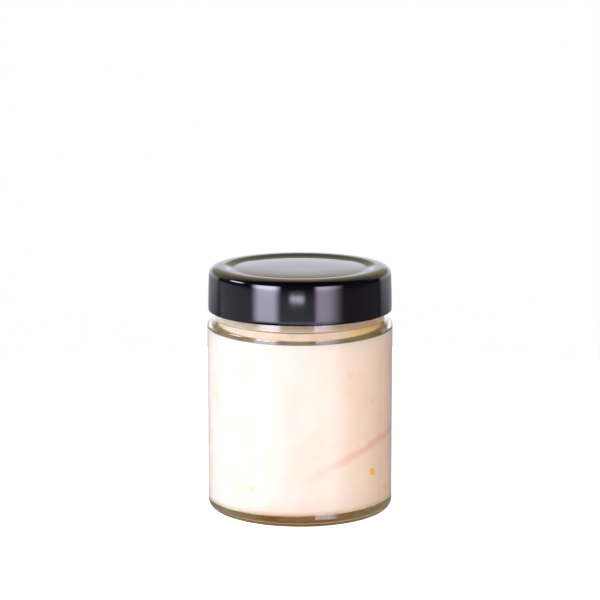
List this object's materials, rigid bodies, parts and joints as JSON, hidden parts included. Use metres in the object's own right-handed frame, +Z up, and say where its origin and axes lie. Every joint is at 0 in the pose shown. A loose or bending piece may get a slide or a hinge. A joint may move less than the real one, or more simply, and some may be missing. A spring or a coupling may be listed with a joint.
{
  "type": "round glass jar",
  "caption": "Straight-sided round clear glass jar filled with thick pale sauce and shut by a deep black lacquered twist-off lid",
  "frame": {"origin": "centre of the resting ring under the base", "axes": "+Z up the jar's axis, -Y towards the front"},
  "size_m": [0.073, 0.073, 0.0968],
  "materials": {
    "clear_glass": "fire-polished",
    "pale_sauce": null,
    "black_lacquer": "high gloss baked lacquer"
  },
  "bodies": {
    "root": {"glass_jar": "clear_glass", "contents": "pale_sauce", "lid": "black_lacquer"}
  },
  "joints": []
}
